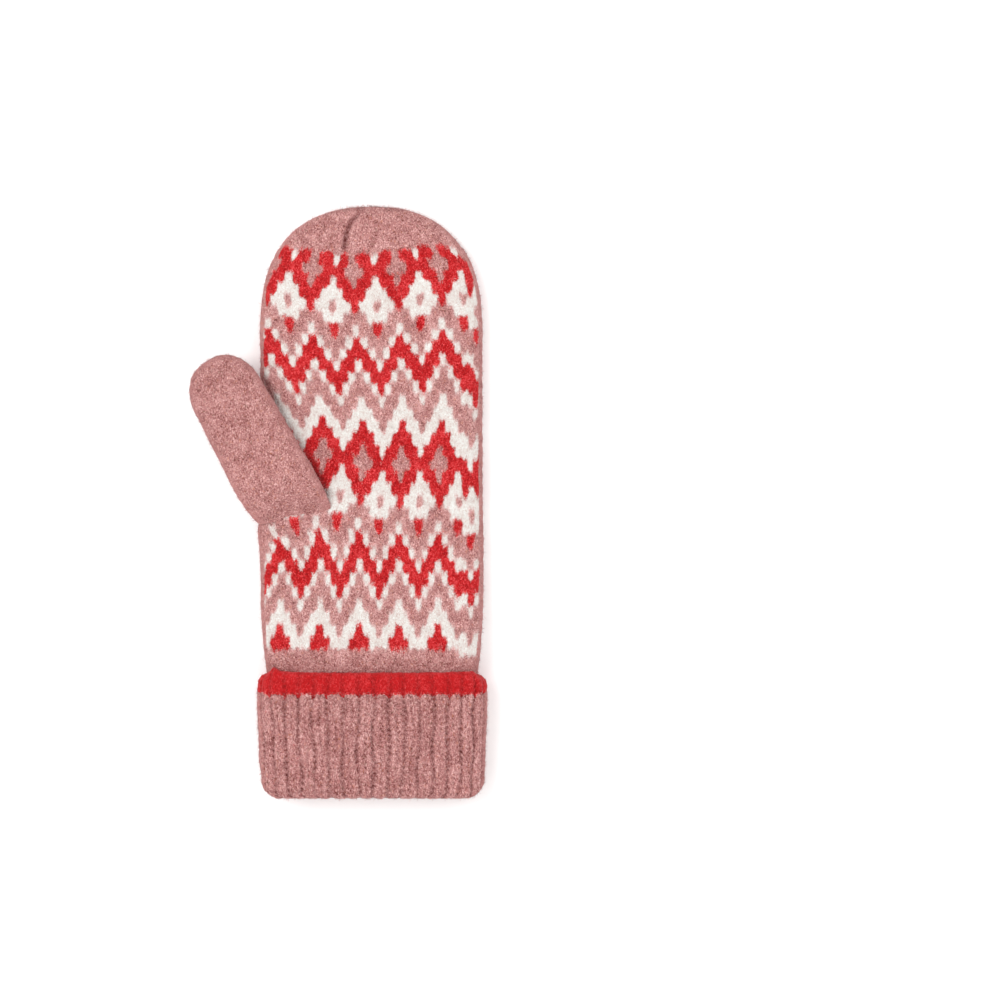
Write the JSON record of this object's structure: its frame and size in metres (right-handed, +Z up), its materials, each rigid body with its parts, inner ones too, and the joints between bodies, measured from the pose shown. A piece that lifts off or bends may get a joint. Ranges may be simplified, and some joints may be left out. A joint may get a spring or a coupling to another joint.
{
  "type": "knitted mitten",
  "caption": "Left-hand knitted mitten lying palm up: long hand with a gathered crown, thumb laid across the palm, ribbed cuff turned up with a contrasting edge.",
  "frame": {"origin": "middle of the outline seen from above, on the surface that the mitten lies on", "axes": "+Y from the folded wrist edge to the crown, +Z up out of the palm, +X away from the thumb"},
  "size_m": [0.1372, 0.2698, 0.0287],
  "materials": {
    "rose_knit": "brushed knit, matt",
    "pattern_knit": "stranded brushed knit in rose, red and cream, matt",
    "rib_knit": "ribbed brushed knit, matt",
    "red_knit": "brushed knit, matt"
  },
  "bodies": {
    "root": {"hand": "pattern_knit", "thumb": "rose_knit", "cuff": "rib_knit", "cuff_edge": "red_knit"}
  },
  "joints": []
}
